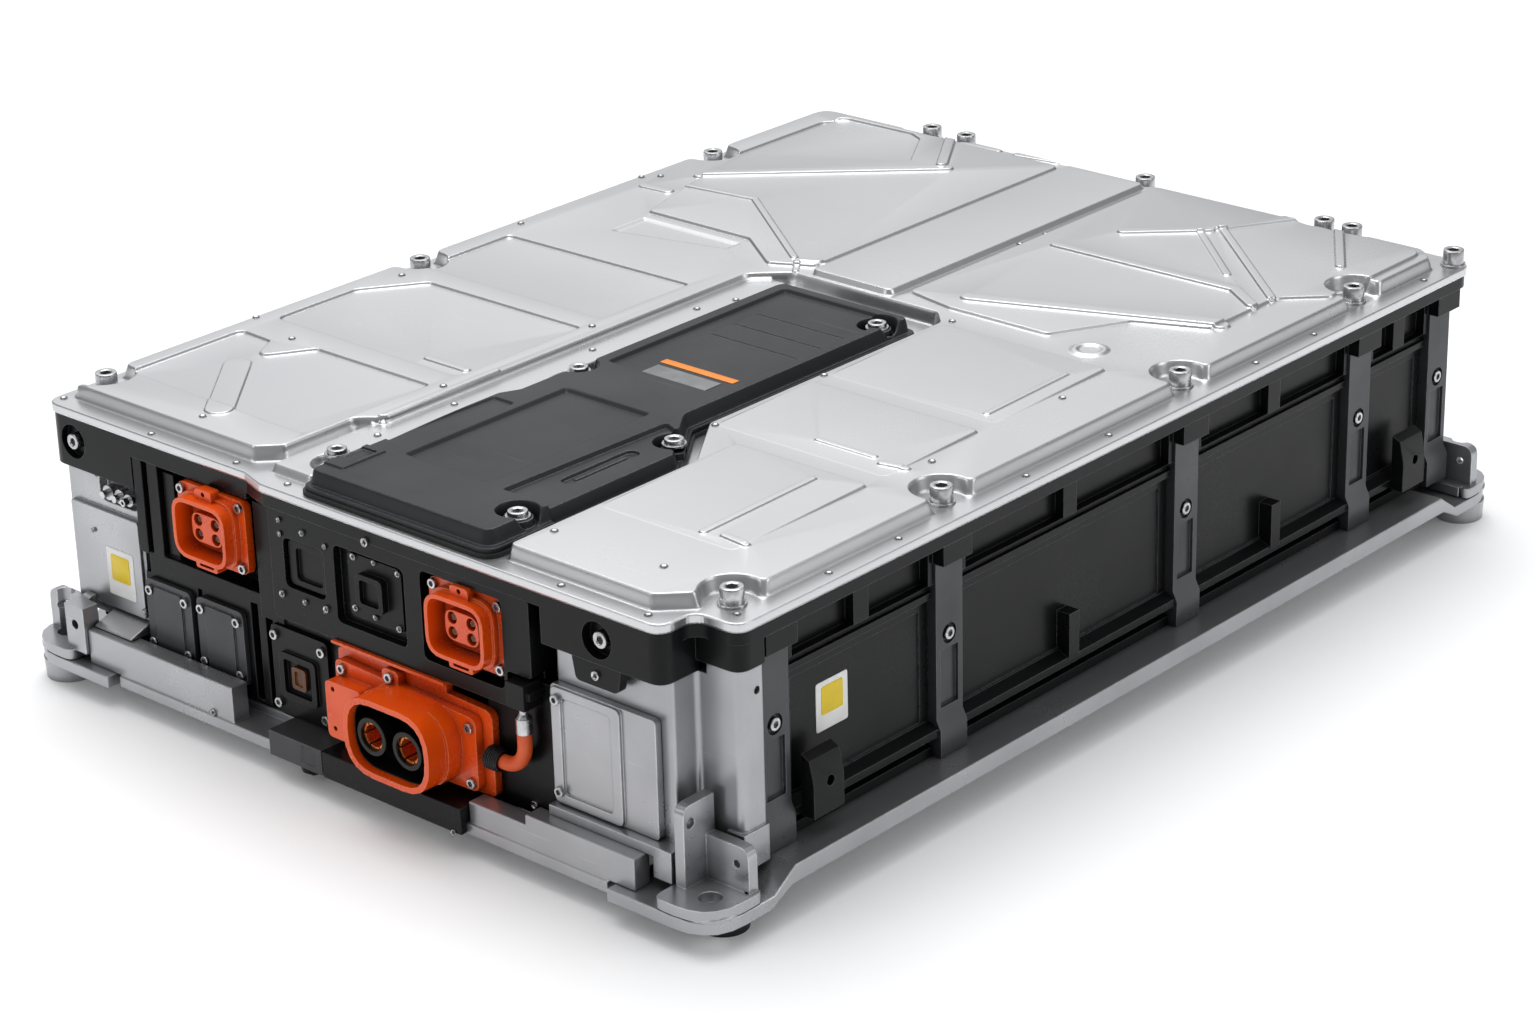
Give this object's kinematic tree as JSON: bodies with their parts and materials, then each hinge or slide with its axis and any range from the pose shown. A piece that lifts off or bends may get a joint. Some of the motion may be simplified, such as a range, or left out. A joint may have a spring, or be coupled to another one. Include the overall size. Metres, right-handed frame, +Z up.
{
  "type": "ev battery pack",
  "caption": "Flat electric vehicle battery pack: ribbed silver pressed cover, black service cover, dark cast housing, orange connectors at one end, mounting lugs at the corners.",
  "frame": {"origin": "centre of the pack on the ground plane under its feet, which is also the centre of the four mounting bolt holes in plan", "axes": "+Z up, +Y along the pack from the connector end to the rear, +X to the right seen from the connector end"},
  "size_m": [0.734, 1.01, 0.2495],
  "materials": {
    "cover_aluminium": "pressed sheet, soft satin with a fine grain",
    "cast_aluminium": "machined and cast, satin with light handling marks",
    "black_casting": "black coated casting, semi-matt",
    "dark_steel": "dark coated steel, semi-matt",
    "service_black": "black moulded cover, satin",
    "black_plastic": "black moulding, satin",
    "ring_plastic": "black insulating ring, glossy lip",
    "connector_orange": "orange moulding, soft gloss",
    "lead_orange": "orange sleeve, satin",
    "contact_metal": "copper alloy, bright",
    "fastener_steel": "zinc plated steel, bright",
    "seal_rubber": "black rubber, matt",
    "module_case": "dark grey moulding, matt",
    "board_green": "coated circuit board",
    "fuse_ceramic": "ceramic body, smooth"
  },
  "bodies": {
    "root": {"lower_tray": "black_casting", "left_rail": "cast_aluminium", "right_rail": "cast_aluminium", "front_rail": "cast_aluminium", "rear_rail": "cast_aluminium", "lug_front_left": "cast_aluminium", "lug_front_right": "cast_aluminium", "lug_rear_left": "cast_aluminium", "lug_rear_right": "cast_aluminium", "foot_spacers": "cast_aluminium", "foot_rubber": "seal_rubber", "left_wall": "black_casting", "right_wall": "black_casting", "rear_wall": "black_casting", "left_posts": "dark_steel", "right_posts": "dark_steel", "side_brackets": "black_casting", "upper_frame": "black_casting", "front_housing": "black_casting", "connector_panel": "black_casting", "front_cover_left": "cast_aluminium", "front_cover_right": "cast_aluminium", "corner_column": "cast_aluminium", "blanking_plates": "dark_steel", "lower_bracket": "dark_steel", "connector_support": "black_casting", "drain_plug": "black_casting", "hv_connector_left": "connector_orange", "hv_connector_right": "connector_orange", "hv_inserts": "black_plastic", "hv_pins": "contact_metal", "main_connector": "connector_orange", "main_connector_plate": "connector_orange", "main_insert": "black_plastic", "contact_rings": "ring_plastic", "power_contacts": "contact_metal", "signal_socket": "black_plastic", "signal_connectors": "black_plastic", "signal_seal": "connector_orange", "cable_gland": "black_plastic", "elbow_lead": "lead_orange", "lead_ferrule": "fastener_steel", "fitting_block": "black_plastic", "ground_studs": "fastener_steel", "top_cover": "cover_aluminium", "cover_gasket": "seal_rubber", "cover_bolts": "fastener_steel", "service_cover": "service_black", "service_gasket": "seal_rubber", "service_bolts": "fastener_steel", "front_screws": "fastener_steel", "side_screws": "fastener_steel", "cooling_plate": "cast_aluminium", "battery_modules": "module_case", "busbars": "contact_metal", "bms_board": "board_green", "contactors": "black_plastic", "main_fuse": "fuse_ceramic", "current_sensor": "black_plastic", "coolant_manifold": "black_plastic"}
  },
  "joints": []
}
